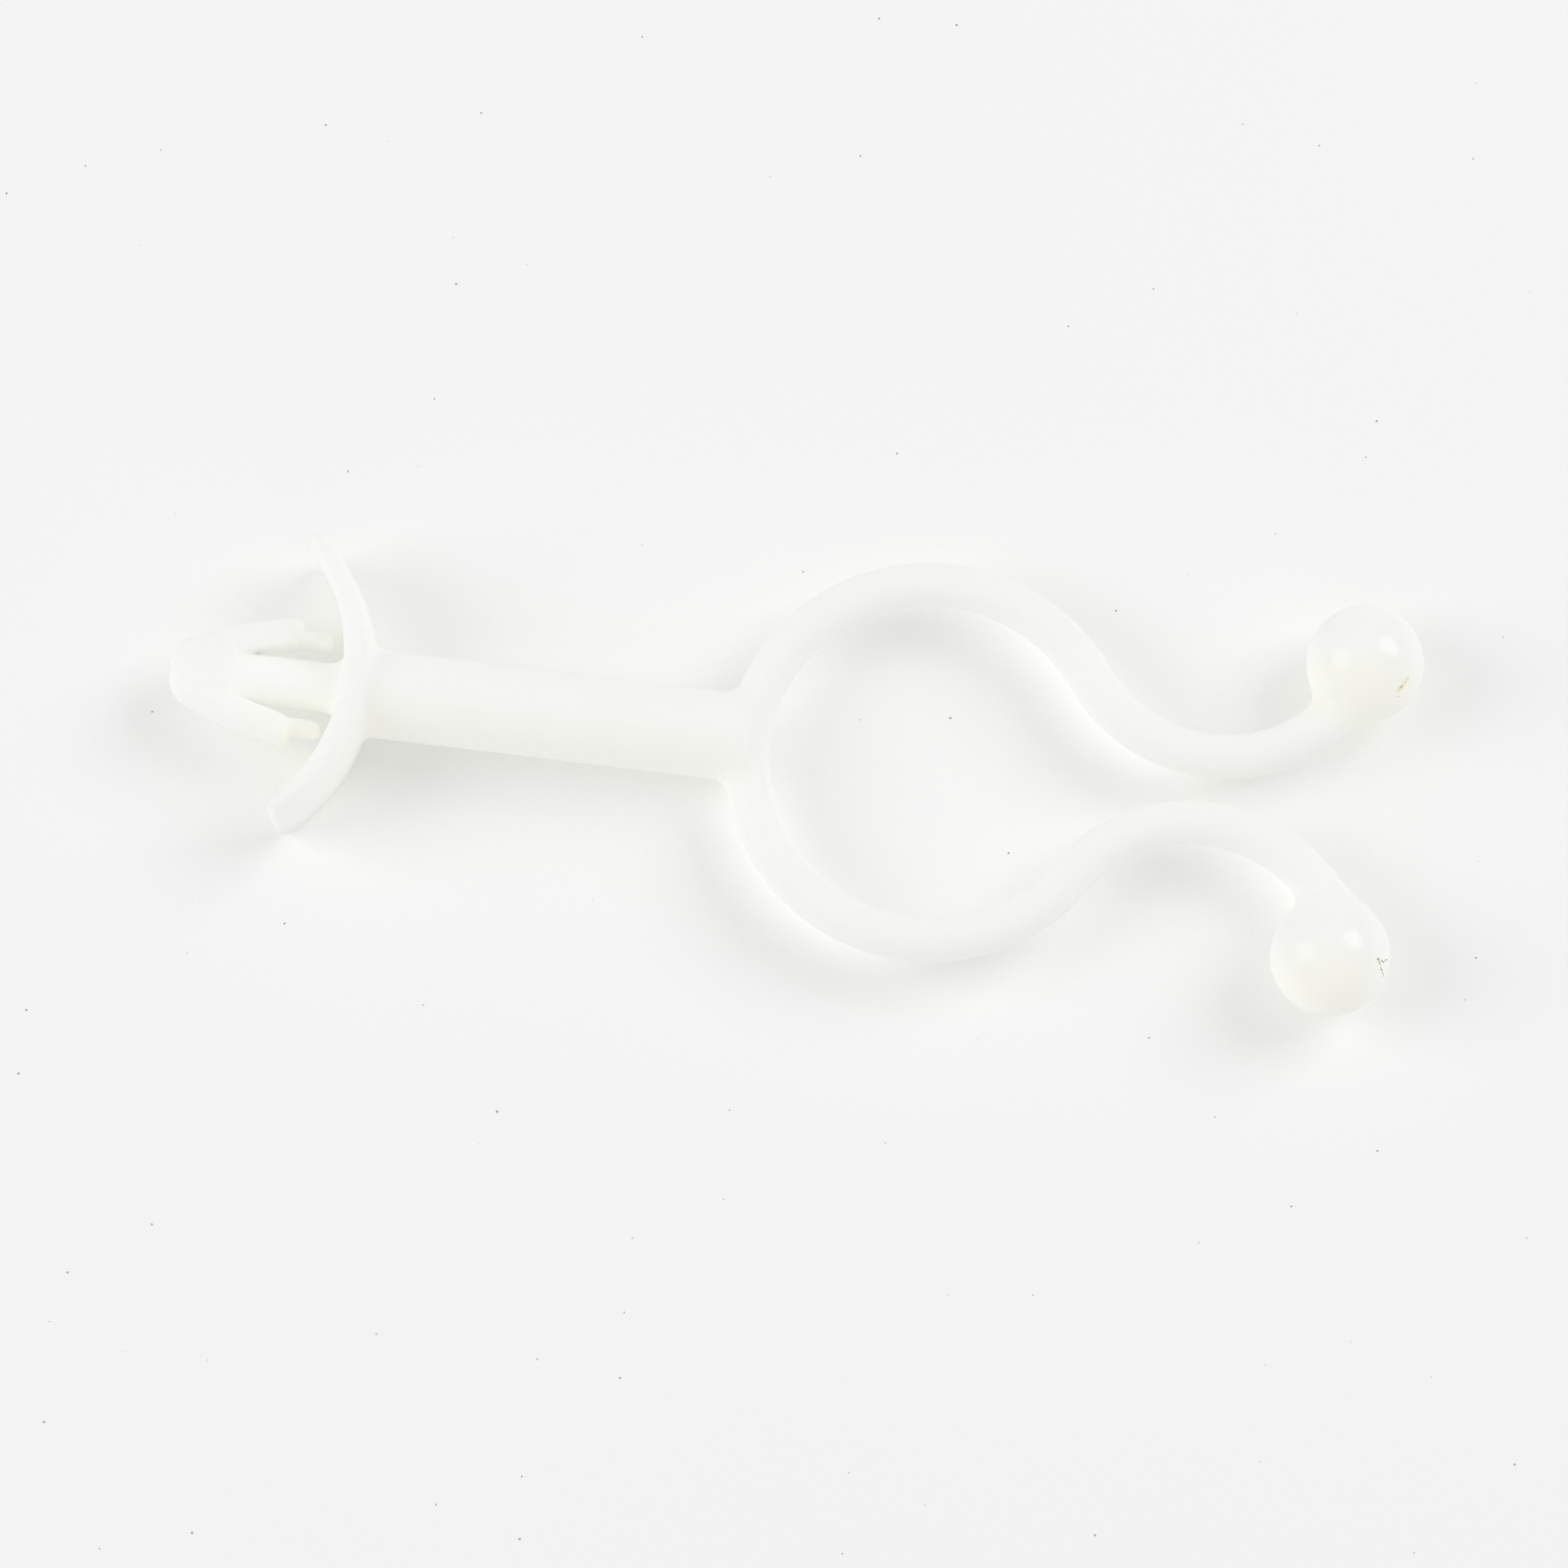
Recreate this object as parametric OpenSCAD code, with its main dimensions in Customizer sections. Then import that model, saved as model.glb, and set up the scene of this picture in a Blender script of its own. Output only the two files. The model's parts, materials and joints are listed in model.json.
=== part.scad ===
// Twist-lock cable clamp, moulded in one piece: a snap barb, a bow wing, a stand-off
// post and an open ring, whose two arms are twisted past each other to close it.
// It lies flat, as it comes to rest: X runs from the barb's nose to the balls, Y lies
// across it in the plane of the ring, and Z is up. The origin is on the surface that
// it lies on, below the middle of its box.

/* [Ring] */
// Diameter of the round wire that the ring and the arms are made of
wire_d = 2.0; // [1.5:0.1:2.6]
// Radius of the ring, to the middle of its wire
ring_r = 8.26; // [7:0.02:12]

/* [Arms] */
// Radius of each arm's reverse bend, to the middle of its wire
bend_r = 7.0; // [6:0.1:9]
// Distance from the axis to the near side of the arm at +Y, where the arms neck in
neck_a = 0.8; // [0.2:0.05:1.5]
// The same distance for the arm at -Y, which has taken a set towards the axis
neck_b = 0.35; // [0.2:0.05:1.5]
// Heading to which the arm at +Y is bent, away from the axis, in degrees
heading_a = 56.5; // [35:0.5:80]
// Heading to which the arm at -Y is bent, away from the axis, in degrees
heading_b = 52.5; // [35:0.5:80]
// Straight length of the arm at +Y, from its bend to abreast of the ball's centre
tail_a = 2.1; // [1:0.05:6]
// Straight length of the arm at -Y, from its bend to abreast of the ball's centre
tail_b = 2.4; // [1:0.05:6]
// Diameter of the balls
ball_d = 5.3; // [4.6:0.1:6.5]
// How far the wire of the arm at +Y passes outside the centre of its ball
root_a = 0.5; // [0:0.05:1.4]
// How far the wire of the arm at -Y passes outside the centre of its ball
root_b = 1.25; // [0:0.05:1.4]

/* [Post] */
// Diameter of the stand-off post
post_d = 4.0; // [3:0.1:4.8]
// Length of the post that shows between the wing and the ring
post_l = 16.05; // [8:0.05:30]
// Radius of the small fillet where the post meets the wing
post_fillet = 0.45; // [0.1:0.05:0.6]

/* [Wing] */
// Span of the wing, from tip to tip
wing_span = 13.4; // [11:0.1:17]
// Height of the wing, across its width
wing_h = 5.3; // [4.4:0.1:7]
// Thickness of the wing in its middle
wing_t = 1.3; // [0.9:0.05:1.8]
// Radius of the wing's outer face, seen from above
wing_out_r = 8.75; // [8:0.05:12]
// Radius of the wing's inner face, seen from above
wing_in_r = 9.1; // [8.5:0.05:12]
// How much thinner the wing is along its long edges
wing_crown = 0.3; // [0.1:0.05:0.5]
// Depth of the wing, from its outer face to the flat feet at its tips
wing_depth = 3.8; // [2.5:0.05:5]
// Radius of the rounded corners at the wing's tips, seen from the post
wing_corner = 1.0; // [0.3:0.1:2]
// Radius of the rounding between a tip's outer face and its flat foot
foot_r = 0.5; // [0.1:0.05:0.7]

/* [Barb] */
// Length of the barb, from the wing's inner face to the tip of the nose
barb_l = 8.0; // [7.5:0.05:12]
// Thickness of the barb's head
barb_t = 2.3; // [2:0.05:3]
// Diameter of the round core between the two fingers
core_d = 2.25; // [1.6:0.05:2.4]
// Radius of the fillet where the core meets the wing
core_fillet = 0.9; // [0.2:0.05:1.2]
// Width of the head over its two shoulders
head_d = 6.0; // [5.4:0.05:7]
// Length of the head, from the tip of the nose to the shoulders
head_l = 5.75; // [5:0.05:7]
// Radius of the crowned flank from the nose to the shoulder
flank_r = 16; // [9:0.5:40]
// Diameter of the flat on the tip of the nose
nose_flat_d = 0.8; // [0.2:0.1:2]
// Radius of the rounded edge of the nose
nose_r = 1.25; // [0.8:0.05:1.5]
// Width over the two tongues behind the shoulders, which enter the panel's hole
tongue_d = 4.86; // [4.5:0.02:5.2]
// Length of the tongues behind the shoulders
tongue_l = 1.4; // [0.8:0.05:1.6]
// Thickness of the tongues
tongue_t = 0.62; // [0.4:0.02:0.9]
// Step on each finger's inner side, where its tongue begins
step_in = 0.14; // [0.05:0.01:0.3]
// How far in front of the shoulders that inner step lies
step_lead = 0.35; // [0.1:0.05:0.8]
// Length of each slot between finger and core, in front of the inner step
slot_l = 2; // [1.6:0.1:3.2]
// Radius of the rounded corners at the ends of the tongues
tongue_r = 0.28; // [0.1:0.02:0.3]

/* [Hidden] */
$fn = 96;
wire_r = wire_d / 2;
// How far one shape runs on inside the next, and how much thinner than it its wire is,
// so that the two are one solid with no step that shows
overlap = 0.3;
hair = 0.02;

// Stations along the axis, measured from the ring's centre
wing_x = -(ring_r + wire_r + post_l);
wing_in_x = wing_x - wing_t;
foot_x = wing_x - wing_depth;
nose_x = wing_in_x - barb_l;
shoulder_x = nose_x + head_l;
tongue_x = shoulder_x + tongue_l;
step_x = shoulder_x - step_lead;
slot_x = step_x - slot_l;

// The box of the whole part, from which the origin follows
reach_a = ball_x(neck_a, heading_a, tail_a, root_a);
reach_b = ball_x(neck_b, heading_b, tail_b, root_b);
tail_x = max(reach_a, reach_b) + ball_d / 2;
mid_x = (nose_x + tail_x) / 2;
rest_z = max(wing_h, ball_d, post_d) / 2;

// The point on an arm's reverse bend that is its centre, from where its neck lies
function bend_y(neck) = neck + wire_r + bend_r;
function bend_x(neck) = sqrt(pow(ring_r + bend_r, 2) - pow(bend_y(neck), 2));
// The angle round the ring at which an arm leaves it
function leave_a(neck) = atan2(bend_y(neck), bend_x(neck));
// How far ahead of the ring's centre a ball's centre lies
function ball_x(neck, heading, tail, root) =
    bend_x(neck) + tail * cos(heading) + (bend_r - root) * sin(heading);

// The crowned flank is an arc through the shoulder that runs on from the nose's edge
edge_x = nose_x + nose_r;
edge_y = nose_flat_d / 2;
chord = [shoulder_x - edge_x, head_d / 2 - edge_y];
along = (pow(flank_r - nose_r, 2) - pow(flank_r, 2) + pow(norm(chord), 2)) / (2 * norm(chord));
aside = sqrt(pow(flank_r - nose_r, 2) - along * along);
unit = chord / norm(chord);
flank_x = edge_x + along * unit.x + aside * unit.y;
flank_y = edge_y + along * unit.y - aside * unit.x;
meet_x = flank_x + (edge_x - flank_x) * flank_r / (flank_r - nose_r);

// A solid of revolution about the X axis; its profile is drawn as [radius, station]
module turned() {
    rotate([0, 90, 0]) rotate_extrude() children();
}

// A stretch of round wire, bent about the Z axis from one angle through another
module bent_wire(thick, radius, from, through) {
    rotate_extrude(angle = through, start = from) translate([radius, 0]) circle(d = thick);
}

// The open ring, from the root of one arm round to the root of the other
module ring() {
    a = leave_a(neck_a);
    b = leave_a(neck_b);
    bent_wire(wire_d, ring_r, a, 360 - a - b);
}

// One arm with its ball, on the +Y side
module arm(neck, heading, tail, root) {
    start = leave_a(neck) + 180 - overlap * 180 / PI / bend_r;
    translate([bend_x(neck), bend_y(neck), 0]) {
        bent_wire(wire_d - hair, bend_r, start, heading + 270 - start);
        rotate([0, 0, heading]) {
            translate([-overlap, -bend_r, 0]) rotate([0, 90, 0])
                cylinder(d = wire_d - 2 * hair, h = overlap + tail);
            translate([tail, root - bend_r, 0]) sphere(d = ball_d);
        }
    }
}

// The post, which ends over the middle of the ring's wire
module post() {
    rise = wing_out_r - sqrt(pow(wing_out_r, 2) - pow(post_d / 2 + post_fillet, 2));
    root_x = wing_x - rise - post_fillet / 8;
    translate([wing_x - wing_t / 2, 0, 0]) rotate([0, 90, 0])
        cylinder(d = post_d, h = wing_t / 2 + post_l + wire_r);
    turned() cove(post_d / 2, post_fillet, root_x);
}

// The profile of a fillet that flares a rod out to a face at the given station,
// on the side of the face that looks to +X
module cove(rod_r, fillet, face_x) {
    difference() {
        translate([0, face_x]) square([rod_r + fillet, fillet]);
        translate([rod_r + fillet, face_x + fillet]) circle(r = fillet);
    }
}

// The bow wing: thickest in the middle, thinner towards its long edges and tips
module wing() {
    half = wing_h / 2;
    crown_r = (half * half + wing_crown * wing_crown) / (2 * wing_crown);
    intersection() {
        difference() {
            translate([wing_x - wing_out_r, 0, 0]) rotate_extrude(angle = 180, start = -90)
                intersection() {
                    translate([wing_out_r - crown_r, 0]) circle(r = crown_r);
                    translate([0, -half]) square([wing_out_r, wing_h]);
                }
            translate([wing_in_x - wing_in_r, 0, -wing_h]) cylinder(r = wing_in_r, h = 2 * wing_h);
        }
        translate([foot_x - overlap, 0, 0]) rotate([90, 0, 90])
            linear_extrude(wing_depth + 2 * overlap) rounded(wing_span, wing_h, wing_corner);
        translate([wing_x, 0, -wing_h]) linear_extrude(2 * wing_h)
            rounded(2 * wing_depth, wing_span, foot_r);
    }
}

// A rectangle about the origin with rounded corners
module rounded(width, height, corner) {
    square([width - 2 * corner, height], center = true);
    square([width, height - 2 * corner], center = true);
    for (sx = [-1, 1], sy = [-1, 1])
        translate([sx * (width / 2 - corner), sy * (height / 2 - corner)]) circle(r = corner);
}

// The turned outline of the head and its tongues
module head_profile() {
    tongue_out = tongue_d / 2;
    translate([0, nose_x]) square([edge_y, head_l]);
    intersection() {
        translate([edge_y, edge_x]) circle(r = nose_r);
        translate([0, nose_x]) square([head_d, head_l]);
    }
    intersection() {
        translate([flank_y, flank_x]) circle(r = flank_r, $fn = 720);
        translate([0, meet_x + overlap / 3]) square([head_d, shoulder_x - meet_x - overlap / 3]);
    }
    translate([0, shoulder_x - overlap]) square([tongue_out, overlap + tongue_l - tongue_r]);
    translate([0, shoulder_x - overlap]) square([tongue_out - tongue_r, overlap + tongue_l]);
    translate([tongue_out - tongue_r, tongue_x - tongue_r]) circle(r = tongue_r);
}

// One finger seen from above, on the +Y side: solid from its inner face outwards
module finger_plan() {
    inner = tongue_d / 2 - tongue_t;
    outer = head_d;
    front = slot_x - overlap;
    step_end = step_x + 2 * step_in;
    polygon([[front, 0], [slot_x, 0], [slot_x, core_d / 2], [step_x, inner - step_in],
        [step_end, inner], [step_end, outer], [front, outer]]);
    translate([step_end - overlap, inner])
        square([overlap + tongue_x - tongue_r - step_end, outer - inner]);
    translate([step_end - overlap, inner + tongue_r])
        square([overlap + tongue_x - step_end, outer - inner - tongue_r]);
    translate([tongue_x - tongue_r, inner + tongue_r]) circle(r = tongue_r);
}

// The head: a turned shape, slotted on both sides of the core and flat above and below
module head() {
    intersection() {
        turned() head_profile();
        translate([0, 0, -barb_t]) linear_extrude(2 * barb_t) {
            translate([nose_x - overlap, -head_d]) square([slot_x - nose_x, 2 * head_d]);
            finger_plan();
            mirror([0, 1]) finger_plan();
        }
        translate([(nose_x + tongue_x) / 2, head_d, 0]) rotate([90, 0, 0])
            linear_extrude(2 * head_d) rounded(tongue_x - nose_x, barb_t, barb_t / 3);
    }
}

// The round core that carries the head, filleted into the wing
module core() {
    translate([slot_x - overlap, 0, 0]) rotate([0, 90, 0])
        cylinder(d = core_d, h = wing_in_x + wing_t / 2 - slot_x + overlap);
    mirror([1, 0, 0]) turned() cove(core_d / 2, core_fillet, -wing_in_x - core_fillet / 8);
}

// The whole moulding, about the ring's centre
module moulding() {
    ring();
    arm(neck_a, heading_a, tail_a, root_a);
    mirror([0, 1, 0]) arm(neck_b, heading_b, tail_b, root_b);
    post();
    wing();
    core();
    head();
}

module clamp() {
    color([0.93, 0.93, 0.87]) translate([-mid_x, 0, rest_z]) moulding();
}

clamp();
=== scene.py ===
import json
import math

import bpy
import numpy as np
from mathutils import Matrix, Vector


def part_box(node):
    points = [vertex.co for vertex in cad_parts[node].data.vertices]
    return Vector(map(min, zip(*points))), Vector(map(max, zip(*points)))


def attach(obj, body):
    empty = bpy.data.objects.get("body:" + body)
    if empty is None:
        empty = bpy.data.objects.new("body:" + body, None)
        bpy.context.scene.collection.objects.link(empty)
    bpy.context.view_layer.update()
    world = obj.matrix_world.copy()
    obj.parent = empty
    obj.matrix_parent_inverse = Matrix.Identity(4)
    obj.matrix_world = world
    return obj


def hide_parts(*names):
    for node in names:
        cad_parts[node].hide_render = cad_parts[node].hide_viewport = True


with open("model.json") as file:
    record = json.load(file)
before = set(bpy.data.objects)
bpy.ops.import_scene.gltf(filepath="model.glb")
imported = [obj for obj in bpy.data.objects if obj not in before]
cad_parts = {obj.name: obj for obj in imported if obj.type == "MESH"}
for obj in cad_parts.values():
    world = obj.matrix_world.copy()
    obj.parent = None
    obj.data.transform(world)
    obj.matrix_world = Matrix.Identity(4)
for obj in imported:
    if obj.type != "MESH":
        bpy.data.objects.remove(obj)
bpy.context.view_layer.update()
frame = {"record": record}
partLow, partHigh = (np.array(corner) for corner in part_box("clamp"))
ringMount = next(m for m in frame["record"]["mounts"] if m["name"] == "ring")
ringCentre = np.array(ringMount["pos_m"])  # every shape below is measured from here, in mm
mm = 0.001
print("frame: the clamp is %.1f x %.1f x %.1f mm" % tuple((partHigh - partLow) / mm))


# the node helpers

class Wire:
    # wraps one output socket, so that node maths reads as ordinary arithmetic

    def __init__(self, recipe, socket):
        self.recipe = recipe
        self.socket = socket

    def maths(self, operation, *values):
        return self.recipe.node("ShaderNodeMath", {"operation": operation}, *values)

    def __add__(self, other):
        return self.maths("ADD", self, other)

    def __radd__(self, other):
        return self.maths("ADD", other, self)

    def __sub__(self, other):
        return self.maths("SUBTRACT", self, other)

    def __rsub__(self, other):
        return self.maths("SUBTRACT", other, self)

    def __mul__(self, other):
        return self.maths("MULTIPLY", self, other)

    def __rmul__(self, other):
        return self.maths("MULTIPLY", other, self)

    def __truediv__(self, other):
        return self.maths("DIVIDE", self, other)

    def __pow__(self, other):
        return self.maths("POWER", self, other)

    def size(self):
        return self.maths("ABSOLUTE", self)

    def held(self):
        return self.recipe.node("ShaderNodeClamp", {}, self)

    def step(self, low, high):
        # 0 below low, 1 above high and an eased slope between; low may be the larger
        settings = {"interpolation_type": "SMOOTHSTEP"}
        if low > high:
            return 1 - self.step(high, low)
        return self.recipe.node("ShaderNodeMapRange", settings, self, low, high)


class Recipe:
    # one material's node tree

    def __init__(self, name):
        self.material = bpy.data.materials.new(name)
        self.material.use_nodes = True
        self.tree = self.material.node_tree
        self.tree.nodes.clear()

    def node(self, kind, settings, *values, output=0, **named):
        # a new node: its settings, then its inputs by place or by name
        made = self.tree.nodes.new(kind)
        for key, value in settings.items():
            setattr(made, key, value)
        for place, value in list(enumerate(values)) + list(named.items()):
            self.feed(made.inputs[place if isinstance(place, int) else place.replace("_", " ")], value)
        return Wire(self, made.outputs[output])

    def feed(self, socket, value):
        # a wire is linked and a constant is set; nothing leaves the socket as it is
        if isinstance(value, Wire):
            self.tree.links.new(value.socket, socket)
        elif value is not None:
            if hasattr(value, "__len__") and len(value) == 3 and socket.type == "RGBA":
                value = (*value, 1)
            socket.default_value = value

    def blend(self, factor, first, second):
        # first where the factor is 0 and second where it is 1
        made = self.tree.nodes.new("ShaderNodeMix")
        made.data_type = "RGBA"
        for socket, value in zip((made.inputs[0], made.inputs[6], made.inputs[7]), (factor, first, second)):
            self.feed(socket, value)
        return Wire(self, made.outputs[2])

    def vector(self, operation, *values, output=0):
        return self.node("ShaderNodeVectorMath", {"operation": operation}, *values, output=output)

    def noise(self, where, scale, detail=2.0, roughness=0.5, output=0):
        return self.node("ShaderNodeTexNoise", {}, where, None, scale, detail, roughness, output=output)

    def place(self):
        return self.node("ShaderNodeTexCoord", {}, output=3)

    def bump(self, height, distance, strength=1.0, normal=None):
        made = self.tree.nodes.new("ShaderNodeBump")
        inputs = {"Strength": strength, "Distance": distance, "Height": height, "Normal": normal}
        for name, value in inputs.items():
            self.feed(made.inputs[name], value)
        return Wire(self, made.outputs[0])

    def stroke(self, place, start, end, wide):
        # 1 within the width of the line from start to end and 0 beyond it, with an eased edge
        run = [b - a for a, b in zip(start, end)]
        away = self.vector("SUBTRACT", place, start)
        along = (self.vector("DOT_PRODUCT", away, run, output=1) / sum(v * v for v in run)).held()
        foot = self.vector("SCALE", run, None, None, along)
        return self.vector("DISTANCE", away, foot, output=1).step(wide * 1.6, wide * 0.6)

    def finish(self, surface):
        made = self.tree.nodes.new("ShaderNodeOutputMaterial")
        self.tree.links.new(surface.socket, made.inputs["Surface"])
        return self.material


# the camera, the lamps and the floor

cameraSet = {
    "elevation": 76.3,  # degrees above the bench
    "turn": 7.1219,  # degrees that the picture's right is turned from +X
    "distance": 231.98,  # mm, from the point aimed at
    "aim": (-6.395, -1.882, 0),  # mm from the ring's centre
    "lens": 118.14,
}


def cameraAxes(elevation, turn):
    # right lies level at the turn; forward drops by the elevation; up is their cross product
    e, t = math.radians(elevation), math.radians(turn)
    right = Vector((math.cos(t), math.sin(t), 0))
    forward = Vector((-math.sin(t) * math.cos(e), math.cos(t) * math.cos(e), -math.sin(e)))
    return right, right.cross(forward), -forward


def makeCamera(wanted):
    # the camera stands back from the point aimed at by the distance, along its own axis
    right, up, back = cameraAxes(wanted["elevation"], wanted["turn"])
    camera = bpy.data.objects.new("camera", bpy.data.cameras.new("camera"))
    bpy.context.scene.collection.objects.link(camera)
    turned = Matrix((right, up, back)).transposed()
    place = Vector(ringCentre) + Vector(wanted["aim"]) * mm + back * wanted["distance"] * mm
    camera.matrix_world = Matrix.Translation(place) @ turned.to_4x4()
    camera.data.lens = wanted["lens"]
    camera.data.sensor_width = 36
    camera.data.clip_start, camera.data.clip_end = 0.01, 20
    bpy.context.scene.camera = camera
    return right, up, back


lampSet = {
    "left": {"toward": (-0.80, 0.16, 0.57), "away": 0.55, "across": 0.34, "level": 0.165},
    "right": {"toward": (0.66, 0.50, 0.57), "away": 0.55, "across": 0.32, "level": 0.205},
    "front": {"toward": (-0.10, -0.74, 0.60), "away": 0.6, "across": 0.7, "level": 0.05},
}
roomSet = {"level": 0.505, "seen": 0.9}


def makeLamp(name, wanted, axes):
    # toward is the lamp's direction as (right, up, back) of the camera's axes;
    # level is the share of a white card's brightness that it gives the bench
    way = sum((axis * share for axis, share in zip(axes, wanted["toward"])), Vector()).normalized()
    data = bpy.data.lights.new(name, "AREA")
    data.shape = "SQUARE"
    data.size = wanted["across"]
    data.energy = wanted["level"] * math.pi ** 2 * wanted["away"] ** 2 / way.z
    lamp = bpy.data.objects.new(name, data)
    bpy.context.scene.collection.objects.link(lamp)
    lamp.location = Vector(ringCentre) + way * wanted["away"]
    lamp.rotation_mode = "QUATERNION"
    lamp.rotation_quaternion = way.to_track_quat("Z", "Y")


def makeRoom(wanted):
    # an even white world: the camera's own rays see one strength, and all others get the level
    world = bpy.data.worlds.new("room")
    world.use_nodes = True
    bpy.context.scene.world = world
    tree = world.node_tree
    tree.nodes.clear()
    rays = tree.nodes.new("ShaderNodeLightPath")
    seen = tree.nodes.new("ShaderNodeMix")
    seen.data_type = "FLOAT"
    seen.inputs[2].default_value = wanted["level"]
    seen.inputs[3].default_value = wanted["seen"]
    back = tree.nodes.new("ShaderNodeBackground")
    back.inputs["Color"].default_value = (1, 1, 1, 1)
    out = tree.nodes.new("ShaderNodeOutputWorld")
    tree.links.new(rays.outputs["Is Camera Ray"], seen.inputs[0])
    tree.links.new(seen.outputs[0], back.inputs["Strength"])
    tree.links.new(back.outputs[0], out.inputs["Surface"])


floorSet = {
    "colour": (0.80, 0.799, 0.804),
    "glow": 0.205,  # strength of the board's own plain light, to all rays
    "half": 1.5,  # m, half of the board's side
    "rough": 0.6,
    "fleck": 0.015,  # how far the paint's fine mottle goes from its colour
    "cloud": 0.006,  # how far its broad mottle goes
    "dustCell": 3.6,  # mm, one grain of dust at most in each such square
    "dustShare": 0.28,
    "dustSize": 0.03,  # mm
    "dustDark": 0.6,  # share of the light that a grain takes away
}


def makeFloor(wanted):
    # a painted board: one flat square. Its colour is the paint's, less a fine and a broad mottle,
    # and less the dust, whose grains lie in the cells of a pattern
    half = wanted["half"]
    mesh = bpy.data.meshes.new("floor")
    corners = [(-half, -half, 0), (half, -half, 0), (half, half, 0), (-half, half, 0)]
    mesh.from_pydata(corners, [], [(0, 1, 2, 3)])
    floor = bpy.data.objects.new("floor", mesh)
    bpy.context.scene.collection.objects.link(floor)
    paint = Recipe("bench paint")
    place = paint.place()
    fleck = paint.noise(place, 4200, 3, 0.6)
    cloud = paint.noise(place, 60, 2, 0.5)
    shade = 1 - (fleck - 0.5).size() * wanted["fleck"] * 2 - cloud * wanted["cloud"]
    dustCell = wanted["dustCell"] * mm
    wander = paint.vector("SCALE", paint.noise(place, 9000, 2, output=1), None, None, 0.0001)
    warped = paint.vector("ADD", place, wander)
    cells = {"voronoi_dimensions": "2D"}
    away = paint.node("ShaderNodeTexVoronoi", cells, warped, None, 1 / dustCell, output=0)
    chance = paint.node("ShaderNodeTexVoronoi", cells, warped, None, 1 / dustCell, output=1)
    pick = paint.node("ShaderNodeSeparateColor", {}, chance, output=0)
    # a picked cell's grain has its own size, from nothing up to twice the set one
    spread = wanted["dustSize"] / wanted["dustCell"] * 2 / wanted["dustShare"]
    dust = (away - (pick - (1 - wanted["dustShare"])) * spread).step(0.002, -0.002)
    colour = paint.vector("SCALE", wanted["colour"], None, None, shade * (1 - dust * wanted["dustDark"]))
    glow = paint.vector("SCALE", (1, 1, 1), None, None, 1 - dust * wanted["dustDark"])
    surface = paint.node("ShaderNodeBsdfPrincipled", {}, Base_Color=colour, Roughness=wanted["rough"],
                         Emission_Color=glow, Emission_Strength=wanted["glow"],
                         Normal=paint.bump(fleck, 0.00002, 0.5))
    floor.data.materials.append(paint.finish(surface))


# the moulding: every size is in mm, and so are the fields below

wireSet = {
    "wire": 2.0,
    "ring": 8.26,  # radius of the ring's middle line
    "bend": 7.0,  # radius of an arm's reverse bend
    "ball": 5.3,
    "melt": 1.5,  # how far the blend of an arm into its ball reaches
    "crotch": 0.6,  # fillet between wire and post
    "arms": {
        "upper": {"side": 1, "neck": 0.8, "heading": 56.5, "tail": 2.1, "root": 0.5},
        "lower": {"side": -1, "neck": 0.35, "heading": 52.5, "tail": 2.4, "root": 1.25},
    },
}
postSet = {"across": 4.0, "long": 16.05, "rim": 0.4, "fillet": 0.45}  # the fillet is at the wing
wingSet = {
    "span": 13.4, "high": 5.3, "thick": 1.3, "outer": 8.75, "inner": 9.1, "crown": 0.3,
    "depth": 3.8, "corner": 1.0, "foot": 0.5, "edge": 0.22,
    "planEdge": 0.1,  # round where the bow's faces meet its tips
}
barbSet = {
    "long": 8.0, "thick": 2.3, "core": 2.25, "coreFillet": 0.85, "head": 6.0, "headLong": 5.75,
    "flank": 16.0, "flat": 0.8, "nose": 1.25, "tongue": 4.86, "tongueLong": 1.4, "tongueThick": 0.62,
    "stepIn": 0.14, "stepLead": 0.35, "slot": 2.0, "tip": 0.42, "lip": 0.5, "edge": 0.2,
    "runOut": 2.2,  # how long the slots' floor takes to rise to the flat
    "runShift": 0.3,  # how far behind the slots' end the middle of that rise lies
    "runSteep": 1.5,  # what the floor's height is divided by to be near a distance
    "slotEdge": 0.1,
    "tongueRoot": 0.4, "tongueFillet": 0.08,  # how far the tongues reach into the head, and their fillet
    "coreRoot": 1.5, "coreRim": 0.05, "headFillet": 0.1,  # the same for the core in the head
}
skinSet = {"cell": 0.125, "pulls": 4}


def length(*parts):
    # the root of the sum of the squares
    return np.sqrt(sum(part * part for part in parts))


def joined(a, b, fillet):
    # two solids as one: the nearer surface, with a round fillet where both are near
    return np.maximum(fillet, np.minimum(a, b)) - length(np.maximum(fillet - a, 0), np.maximum(fillet - b, 0))


def melted(a, b, reach):
    # two solids as one with no edge to their fillet: the nearer surface, raised by the cube of
    # how alike the two distances are
    near = np.maximum(reach - np.abs(a - b), 0) / reach
    return np.minimum(a, b) - near ** 3 * reach / 6


def common(a, b, edge):
    # where two solids overlap: the farther surface, with a rounded edge where both are near
    return np.minimum(-edge, np.maximum(a, b)) + length(np.maximum(edge + a, 0), np.maximum(edge + b, 0))


def roundedBox(x, y, halfX, halfY, corner):
    # distance in a plane to a rectangle with rounded corners
    a, b = np.abs(x) - halfX + corner, np.abs(y) - halfY + corner
    return length(np.maximum(a, 0), np.maximum(b, 0)) + np.minimum(np.maximum(a, b), 0) - corner


def arcDistance(x, y, centre, radius, start, through):
    # distance in plan to an arc: across the radius inside its angle, to its nearer end outside
    middle, half = math.radians(start + through / 2), math.radians(abs(through) / 2)
    u, v = x - centre[0], y - centre[1]
    along = u * math.cos(middle) + v * math.sin(middle)
    aside = np.abs(v * math.cos(middle) - u * math.sin(middle))
    end = (radius * math.cos(half), radius * math.sin(half))
    return np.where(np.arctan2(aside, along) <= half, np.abs(length(u, v) - radius),
                    length(along - end[0], aside - end[1]))


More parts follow.
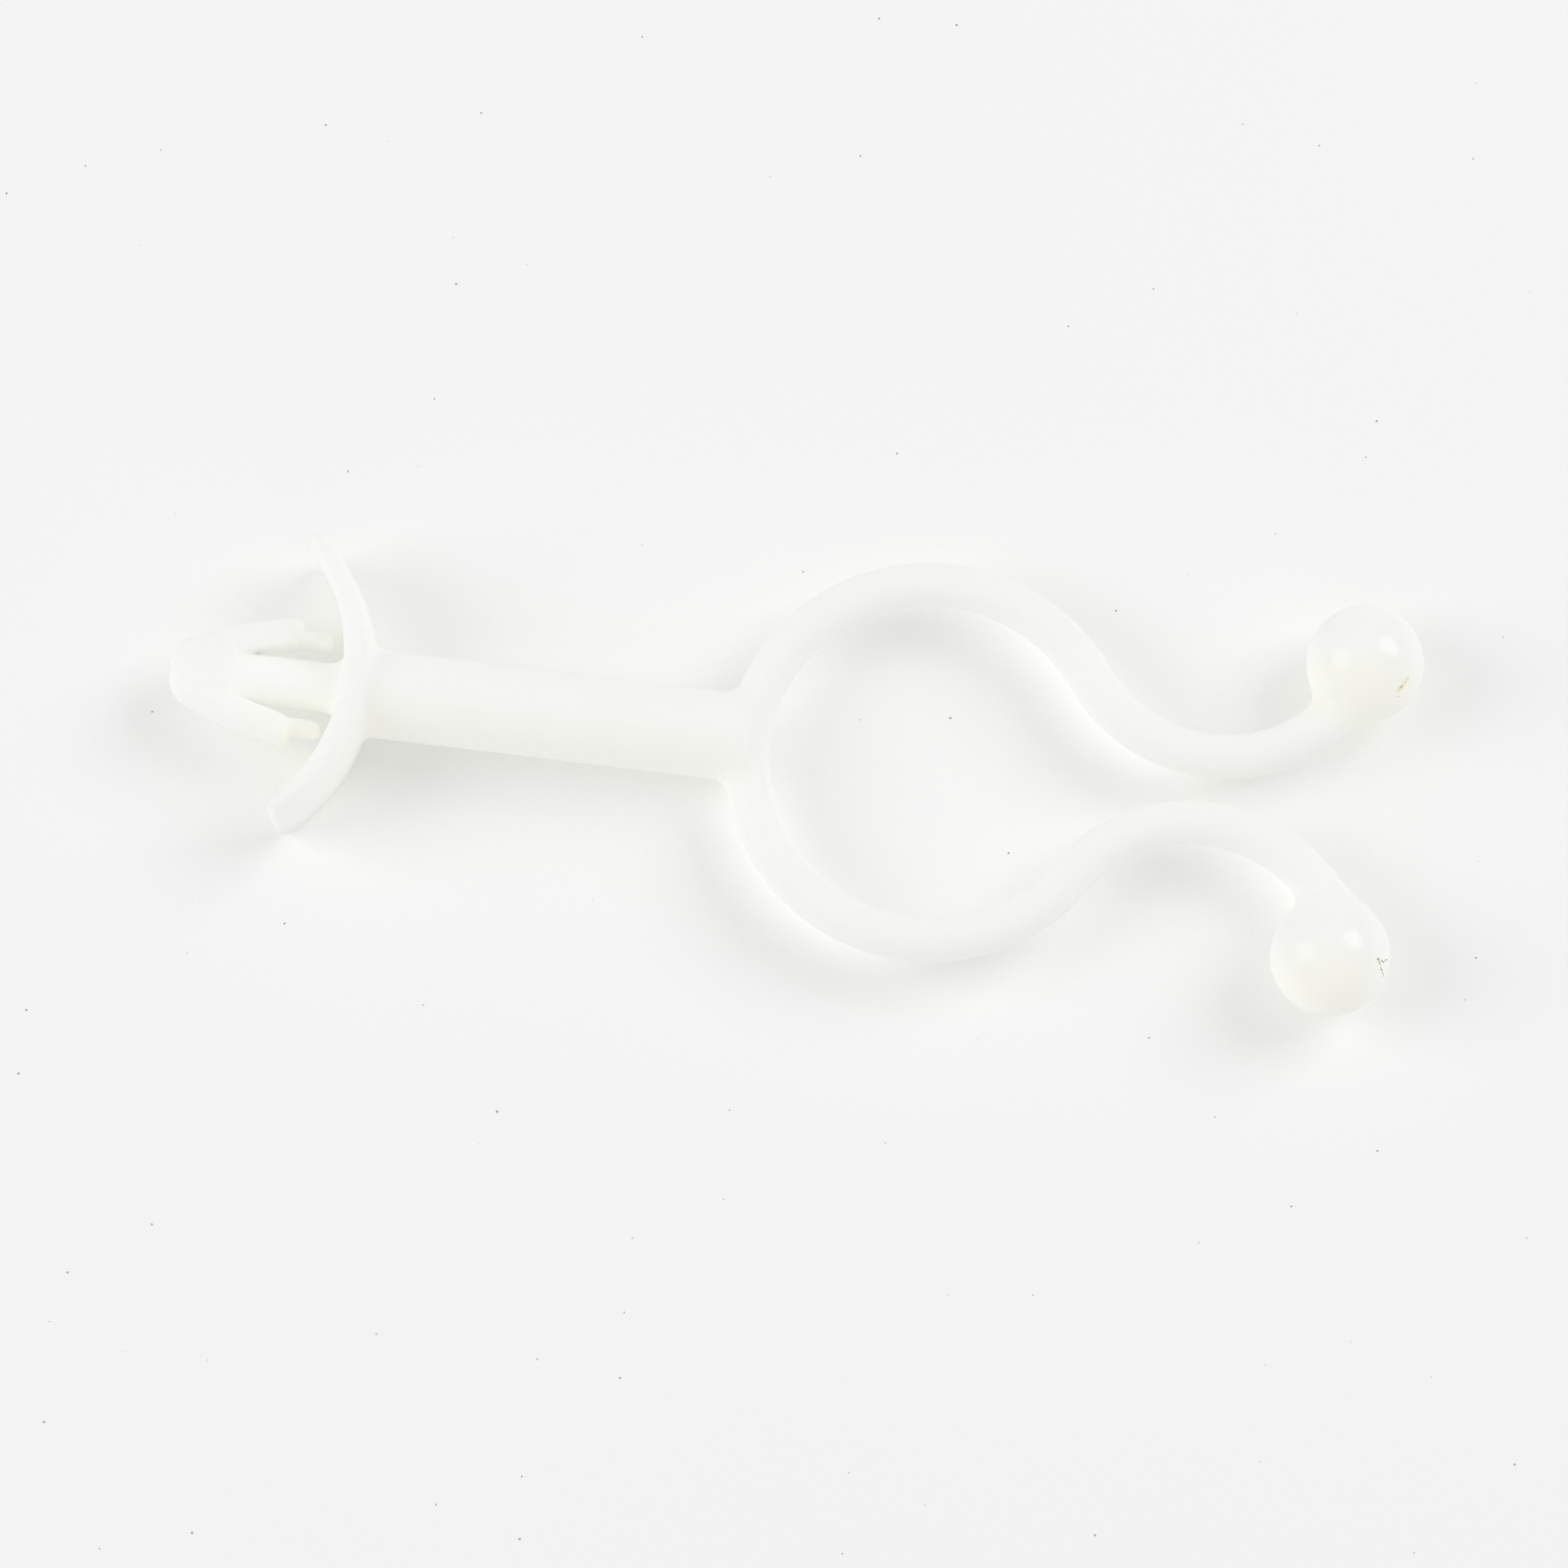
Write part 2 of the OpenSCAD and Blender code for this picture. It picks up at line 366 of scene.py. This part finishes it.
def lineDistance(x, y, start, end):
    # distance in plan to a straight stretch
    dx, dy = end[0] - start[0], end[1] - start[1]
    t = np.clip(((x - start[0]) * dx + (y - start[1]) * dy) / (dx * dx + dy * dy), 0, 1)
    return length(x - start[0] - t * dx, y - start[1] - t * dy)


def armPath(arm, wanted):
    # the reverse bend touches the ring from outside; its centre follows from the neck's half gap
    reach = wanted["ring"] + wanted["bend"]
    cy = arm["neck"] + wanted["wire"] / 2 + wanted["bend"]
    cx = math.sqrt(reach ** 2 - cy ** 2)
    leave = math.degrees(math.atan2(cy, cx))
    h = math.radians(arm["heading"])
    ahead, aside = (math.cos(h), math.sin(h)), (-math.sin(h), math.cos(h))

    def point(u, v):
        return (cx + u * ahead[0] + v * aside[0], cy + u * ahead[1] + v * aside[1])

    return {
        "leave": leave, "centre": (cx, cy), "bendEnd": point(0, -wanted["bend"]),
        "tailEnd": point(arm["tail"], -wanted["bend"]),
        "ball": point(arm["tail"], arm["root"] - wanted["bend"]),
    }


def wireField(x, y, z, wanted):
    # the wire's round section carried along the ring, both bends and both tails,
    # with a ball joined on at each end
    paths = {name: armPath(arm, wanted) for name, arm in wanted["arms"].items()}
    upper, lower = paths["upper"]["leave"], paths["lower"]["leave"]
    ring = arcDistance(x, y, (0, 0), wanted["ring"], upper, 360 - upper - lower)
    field = length(ring, z) - wanted["wire"] / 2
    for name, arm in wanted["arms"].items():
        path, side = paths[name], arm["side"] * y
        start = path["leave"] + 180
        bend = arcDistance(x, side, path["centre"], wanted["bend"], start, arm["heading"] + 270 - start)
        tail = lineDistance(x, side, path["bendEnd"], path["tailEnd"])
        rod = length(np.minimum(bend, tail), z) - wanted["wire"] / 2
        ball = length(x - path["ball"][0], side - path["ball"][1], z) - wanted["ball"] / 2
        field = np.minimum(field, melted(rod, ball, wanted["melt"]))
    return field


def rodField(x, radial, start, end, radius, rim):
    # a round bar along X with rounded rims
    return roundedBox(x - (start + end) / 2, radial, (end - start) / 2, radius, rim)


def wingField(x, y, z, wingX, wanted):
    # the space between two cylinders about upright axes, the outer one crowned, trimmed to a
    # rounded rectangle as seen along X and to a rounded depth as seen from above
    half = wanted["high"] / 2
    crown = (half ** 2 + wanted["crown"] ** 2) / (2 * wanted["crown"])
    belly = wanted["outer"] - crown + np.sqrt(np.maximum(crown ** 2 - z * z, 0.01))
    outer = length(x - wingX + wanted["outer"], y) - belly
    inner = wanted["inner"] - length(x - wingX + wanted["thick"] + wanted["inner"], y)
    plan = roundedBox(x - wingX, y, wanted["depth"], wanted["span"] / 2, wanted["foot"])
    front = roundedBox(y, z, wanted["span"] / 2, half, wanted["corner"])
    bow = common(common(outer, inner, wanted["edge"]), plan, wanted["planEdge"])
    return common(bow, front, wanted["edge"])


def headField(x, y, z, radial, noseX, wanted):
    # a turned nose and crowned flank, cut off at the shoulder, with narrower tongues behind it;
    # flat above and below, and opened by a slot on each side of the core
    edgeX, edgeR = noseX + wanted["nose"], wanted["flat"] / 2
    shoulder, tongueEnd = noseX + wanted["headLong"], noseX + wanted["headLong"] + wanted["tongueLong"]
    chord = (shoulder - edgeX, wanted["head"] / 2 - edgeR)
    span = math.hypot(*chord)
    unit = (chord[0] / span, chord[1] / span)
    along = ((wanted["flank"] - wanted["nose"]) ** 2 - wanted["flank"] ** 2 + span ** 2) / (2 * span)
    aside = math.sqrt((wanted["flank"] - wanted["nose"]) ** 2 - along ** 2)
    centre = (edgeX + along * unit[0] + aside * unit[1], edgeR + along * unit[1] - aside * unit[0])
    flank = length(x - centre[0], radial - centre[1]) - wanted["flank"]
    nose = length(x - edgeX, np.maximum(radial - edgeR, 0)) - wanted["nose"]
    # left of the line through both centres the nose rules, and right of it the flank
    side = (edgeX - centre[0]) * (radial - centre[1]) - (edgeR - centre[1]) * (x - centre[0])
    turned = common(np.where(side > 0, nose, flank), x - shoulder, wanted["lip"])
    tongues = np.maximum(radial - wanted["tongue"] / 2, shoulder - wanted["tongueRoot"] - x)
    turned = joined(turned, common(tongues, x - tongueEnd, wanted["tip"]), wanted["tongueFillet"])
    front = noseX - 0.1
    thick = wanted["thick"]
    slab = roundedBox(x - (front + tongueEnd) / 2, z, (tongueEnd - front) / 2, thick / 2, thick / 3)
    inner = wanted["tongue"] / 2 - wanted["tongueThick"]
    stepX = shoulder - wanted["stepLead"]
    slotX = stepX - wanted["slot"]
    stations = [slotX - 1, slotX, stepX, stepX + 2 * wanted["stepIn"], tongueEnd + 1]
    opening = np.interp(x, stations, [wanted["core"] / 2] * 2 + [inner - wanted["stepIn"], inner, inner])
    # the slots' floor rises to the flat, towards the nose, in an eased slope centred on their end
    t = np.clip((x - slotX - wanted["runShift"]) / wanted["runOut"] + 0.5, 0, 1)
    deep = thick * (0.5 - t * t * (3 - 2 * t))
    gap = common(np.abs(y) - opening, (deep - np.abs(z)) / wanted["runSteep"], wanted["slotEdge"])
    return common(common(turned, slab, wanted["edge"]), -gap, wanted["edge"]), slotX


def mouldingField(points):
    # signed distance, in mm, from a point to the whole moulding's skin: below zero inside it
    x, y, z = points
    radial = length(y, z)
    ringEdge = -wireSet["ring"] - wireSet["wire"] / 2
    wingX = ringEdge - postSet["long"]
    noseX = wingX - wingSet["thick"] - barbSet["long"]
    head, slotX = headField(x, y, z, radial, noseX, barbSet)
    wingMiddle = wingX - wingSet["thick"] / 2
    coreStart = slotX - barbSet["coreRoot"]
    core = rodField(x, radial, coreStart, wingMiddle, barbSet["core"] / 2, barbSet["coreRim"])
    post = rodField(x, radial, wingMiddle, -wireSet["ring"], postSet["across"] / 2, postSet["rim"])
    wing = wingField(x, y, z, wingX, wingSet)
    field = joined(joined(post, wing, postSet["fillet"]), core, barbSet["coreFillet"])
    field = joined(field, head, barbSet["headFillet"])
    return joined(field, wireField(x, y, z, wireSet), wireSet["crotch"])


# The moulding is one body whose parts melt into each other, and light wanders through its joins.
# Swept and turned surfaces laid into each other would leave walls inside it and edges where they
# meet, so it is made as one closed skin round the field above.
def skinOf(fieldOf, low, high, wanted):
    # the zero surface of a field sampled on a box of cells, as quads. Each cell that the surface
    # crosses gets one corner, at the mean of its edges' crossings; each crossed edge joins the
    # corners of the four cells around it; then the corners are pulled along the slope to zero.
    cell = wanted["cell"]
    axes = [np.arange(a - 2 * cell, b + 3 * cell, cell) for a, b in zip(low, high)]
    values = fieldOf(np.meshgrid(*axes, indexing="ij"))
    shape = tuple(n - 1 for n in values.shape)
    total, count = np.zeros((*shape, 3)), np.zeros(shape)
    quadEdges = []
    for axis in range(3):
        others = [a for a in range(3) if a != axis]
        near = values[tuple(slice(None, -1) if a == axis else slice(None) for a in range(3))]
        far = values[tuple(slice(1, None) if a == axis else slice(None) for a in range(3))]
        at = np.argwhere((near < 0) != (far < 0))
        key = tuple(at.T)
        spot = at.astype(float)
        spot[:, axis] += near[key] / (near[key] - far[key])
        corners = []
        for first, second in ((-1, -1), (0, -1), (0, 0), (-1, 0)):
            around = at.copy()
            around[:, others[0]] += first
            around[:, others[1]] += second
            corners.append(around)
            np.add.at(total, tuple(around.T), spot)
            np.add.at(count, tuple(around.T), 1)
        outward = (near[key] < 0) != (axis == 1)
        quadEdges.append((corners, outward))
    number = np.full(shape, -1)
    used = count > 0
    number[used] = np.arange(used.sum())
    points = total[used] / count[used][:, None] * cell + np.array([a[0] for a in axes])
    faces = []
    for corners, outward in quadEdges:
        quad = np.stack([number[tuple(c.T)] for c in corners], axis=1)
        faces.append(np.where(outward[:, None], quad, quad[:, ::-1]))
    for _ in range(wanted["pulls"]):
        value, slope = valueAndSlope(fieldOf, points)
        points = points - slope * np.clip(value / (slope ** 2).sum(1), -cell, cell)[:, None]
    slope = valueAndSlope(fieldOf, points)[1]
    return points, np.concatenate(faces), slope / np.linalg.norm(slope, axis=1)[:, None]


def valueAndSlope(fieldOf, points, reach=0.01):
    # the field and its slope by central differences
    slope = np.zeros_like(points)
    for axis in range(3):
        shift = np.zeros(3)
        shift[axis] = reach
        slope[:, axis] = (fieldOf((points + shift).T) - fieldOf((points - shift).T)) / (2 * reach)
    return fieldOf(points.T), slope


def makeMoulding():
    # the skin of the field inside the solid's box, smooth by the field's own slope
    low, high = ((corner - ringCentre) / mm for corner in (partLow, partHigh))
    points, faces, normals = skinOf(mouldingField, low, high, skinSet)
    places = np.clip(points * mm + ringCentre, partLow, partHigh)
    mesh = bpy.data.meshes.new("nylonMoulding")
    mesh.from_pydata(places.tolist(), [], faces.tolist())
    mesh.polygons.foreach_set("use_smooth", np.ones(len(faces), bool))
    mesh.normals_split_custom_set_from_vertices(normals.tolist())
    mesh.update()
    piece = bpy.data.objects.new("nylonMoulding", mesh)
    bpy.context.scene.collection.objects.link(piece)
    print("moulding: %d corners, %d triangles" % (len(points), 2 * len(faces)))
    return piece


nylonSet = {
    "pale": (0.98, 0.983, 0.894),  # the far side
    "nearSidePaintedLight": (0.976, 0.98, 0.84),  # painted light: the near side's tint, standing in for light that has come through the body
    "nearSidePaintedShare": 0.55,  # how strongly the painted light tints the near side of post, wing and head
    "cloudShare": 0.3,  # how far the clouds move the tone
    # each pair below is where a share is 0 and where it is 1, in mm from the ring's centre
    # the post, head and ball pairs place the near side's painted light; the inside pairs place the brighter
    # painted glow inside the head
    "postAcross": (1.2, -2.2), "postFore": (-7, -9), "postAft": (-25.5, -25),
    "headAcross": (0.8, -4.5), "headFore": (-25, -25.5),
    "ballAcross": (1.4, -2.2), "ballReach": 2,
    "insideOff": (2.9, 1.3), "insideFore": (-25.2, -26.0), "insideAft": (-32.8, -31.0),
    # the height where the painted glow begins and where it is full
    "upper": (-1.4, 0.6),
    "parting": (0.06, 0.02),
    "facing": (0.45, 0.7),  # how far up a face looks where the coat begins and is full
    "coat": 0.12,
    "coatBall": 0.5,
    "coatReach": (0.93, 0.985),  # the share of nearness to a ball where its own coat begins and is full
    "coatRough": 0.1,
    "polished": 0.17,  # roughness of the balls
    "polishedReach": 3,  # mm from a ball where its polish begins
    "satin": 0.33,  # roughness of the rest
    "glow": 0.13,  # painted glow: the milky body's emission, standing in for light that wanders through thin walls
    "paintedGlowOut": (0.39, 0.39, 0.37),  # the share of it on the open upper side
    "paintedGlowNear": (0.62, 0.62, 0.50),  # on the near side, with the painted through-light tint
    "paintedGlowInside": (0.66, 0.66, 0.72),  # and between the barbs and the core
    # small marks, as lines in mm from a ball's centre in plan, lying on the ball
    "marks": [
        {"arm": "upper", "path": [(1.50, -1.50), (1.68, -1.20), (1.84, -0.92)],
         "wide": 0.13, "tone": (0.84, 0.77, 0.60)},
        {"arm": "upper", "path": [(1.56, -1.40), (1.62, -1.30)], "wide": 0.035, "tone": (0.4, 0.33, 0.2)},
        {"arm": "upper", "path": [(1.48, -1.74), (1.60, -1.68)], "wide": 0.022, "tone": (0.25, 0.22, 0.15)},
        {"arm": "lower", "path": [(2.52, 0.06), (2.29, -0.22), (1.98, -0.19), (2.40, -0.78)],
         "wide": 0.034, "tone": (0.3, 0.28, 0.17)},
    ],
    "subsurface": 1.0,
    "reach": (3.0, 3.0, 3.0),  # mm that red, green and blue light wander inside
}


def ballCentres():
    # the centre of each arm's ball, in mm from the ring's centre
    found = {}
    for name, arm in wireSet["arms"].items():
        x, y = armPath(arm, wireSet)["ball"]
        found[name] = np.array((x, y * arm["side"], 0))
    return found


def withMarks(nylon, place, colour, wanted):
    # each mark is a row of short strokes that lie on its ball, bent by a wander of the place and
    # broken by a patchy noise
    wander = nylon.vector("SCALE", nylon.noise(place, 5000, 2, output=1), None, None, 0.00018)
    warped = nylon.vector("ADD", place, wander)
    patchy = nylon.noise(place, 14000, 2, 0.5).step(0.34, 0.44)
    ballR = wireSet["ball"] / 2
    for name, centre in ballCentres().items():
        for mark in (m for m in wanted["marks"] if m["arm"] == name):
            path = [np.add(np.multiply(a, 1 - t), np.multiply(b, t))
                    for a, b in zip(mark["path"], mark["path"][1:]) for t in (0, 0.33, 0.67, 1)]
            spots = [(x, y, math.sqrt(max(ballR ** 2 - x * x - y * y, 0))) for x, y in path]
            # the wander's middle is not at nothing, so the lines are moved with it
            spots = [tuple(ringCentre + (centre + spot) * mm + 0.00009) for spot in spots]
            for start, end in (pair for pair in zip(spots, spots[1:]) if pair[0] != pair[1]):
                share = nylon.stroke(warped, start, end, mark["wide"] * mm) * patchy
                colour = nylon.blend(share, colour, mark["tone"])
    return colour


def nylonMaterial(wanted):
    # natural nylon: its tone goes from pale to warm by a share that grows towards the near side of post,
    # wing, head and balls, a painted tint standing in for light come through the body, and drifts in clouds
    # of random tone. A painted glow, an emission, follows that share on the upper side, and has its own
    # brighter tone inside the head, where it lifts the slots' shade. The balls are glossier than the rest.
    # Clouds, a fine grain and the mould's parting line, a faint ridge at mid height, make the relief.
    nylon = Recipe("natural nylon")
    place = nylon.place()
    cloud = nylon.noise(place, 260, 3, 0.55)
    fine = nylon.noise(place, 2600, 3, 0.6)
    grain = nylon.noise(place, 9000, 2, 0.5)
    # mm from the ring's centre: along the post's axis, beside it and above it
    parts = [nylon.node("ShaderNodeSeparateXYZ", {}, place, output=n) for n in (0, 1, 2)]
    along, beside, lift = ((part - float(centre)) / mm for part, centre in zip(parts, ringCentre))

    post = beside.step(*wanted["postAcross"])
    post = post * along.step(*wanted["postFore"]) * along.step(*wanted["postAft"])
    head = beside.step(*wanted["headAcross"]) * along.step(*wanted["headFore"])
    # painted light: the near side of post, head and balls is tinted as though lit through the body; the
    # clouds are the nylon's own tone, drifting at random
    paintedThroughLightAndClouds = post * wanted["nearSidePaintedShare"] + (cloud - 0.5) * wanted["cloudShare"] + head * wanted["nearSidePaintedShare"]
    ballR, nearBall = wireSet["ball"] / 2, 0
    for centre in ballCentres().values():
        away = nylon.vector("DISTANCE", place, tuple(ringCentre + centre * mm), output=1) / mm
        nearBall = away.step(ballR + wanted["polishedReach"], ballR) + nearBall
        across = beside.step(*(float(centre[1]) + edge for edge in wanted["ballAcross"]))
        paintedThroughLightAndClouds = paintedThroughLightAndClouds + away.step(ballR + wanted["ballReach"], ballR) * across
    paintedThroughLightAndClouds = paintedThroughLightAndClouds.held()
    colour = withMarks(nylon, place, nylon.blend(paintedThroughLightAndClouds, wanted["pale"], wanted["nearSidePaintedLight"]), wanted)

    # painted glow: an emission on the upper side that follows the painted tint, and is brighter and cooler
    # between the barbs and the core, where it lifts the slots' shade
    off = (beside * beside + lift * lift) ** 0.5
    inside = off.step(*wanted["insideOff"])
    inside = inside * along.step(*wanted["insideFore"]) * along.step(*wanted["insideAft"])
    glow = nylon.blend(paintedThroughLightAndClouds, wanted["paintedGlowOut"], wanted["paintedGlowNear"])
    glow = nylon.vector("SCALE", glow, None, None, lift.step(*wanted["upper"]))
    glow = nylon.blend(inside, glow, wanted["paintedGlowInside"])

    rough = wanted["satin"] + (wanted["polished"] - wanted["satin"]) * nearBall + (fine - 0.5) * 0.12
    # the sheen is a coat on what faces up: full on the balls and faint elsewhere
    up = nylon.node("ShaderNodeSeparateXYZ", {}, nylon.node("ShaderNodeTexCoord", {}, output=1), output=2)
    coat = nearBall.step(*wanted["coatReach"]) * (wanted["coatBall"] - wanted["coat"]) + wanted["coat"]
    coat = up.step(*wanted["facing"]) * coat

    parting = lift.size().step(*wanted["parting"])
    relief = nylon.bump(cloud, 0.00006, 0.5)
    relief = nylon.bump(fine, 0.000008, 0.6, relief)
    relief = nylon.bump(parting + grain * 0.05, 0.00002, 0.6, relief)
    surface = nylon.node("ShaderNodeBsdfPrincipled", {"subsurface_method": "RANDOM_WALK"},
                         Base_Color=colour, Roughness=rough.held(), Normal=relief,
                         IOR=1.53, Specular_IOR_Level=0.0,
                         Emission_Color=glow, Emission_Strength=wanted["glow"],
                         Coat_Weight=coat, Coat_Roughness=wanted["coatRough"],
                         Subsurface_Weight=wanted["subsurface"],
                         Subsurface_Radius=wanted["reach"], Subsurface_Scale=mm)
    return nylon.finish(surface)


scene = bpy.context.scene
scene.view_settings.view_transform = "Standard"
axes = makeCamera(cameraSet)
for lampName, lampWanted in lampSet.items():
    makeLamp(lampName, lampWanted, axes)
makeRoom(roomSet)
makeFloor(floorSet)
print("camera, lamps and floor are in place")

moulding = makeMoulding()
moulding.data.materials.append(nylonMaterial(nylonSet))
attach(moulding, "root")
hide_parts("clamp")
print("moulding finished")

bpy.context.view_layer.update()
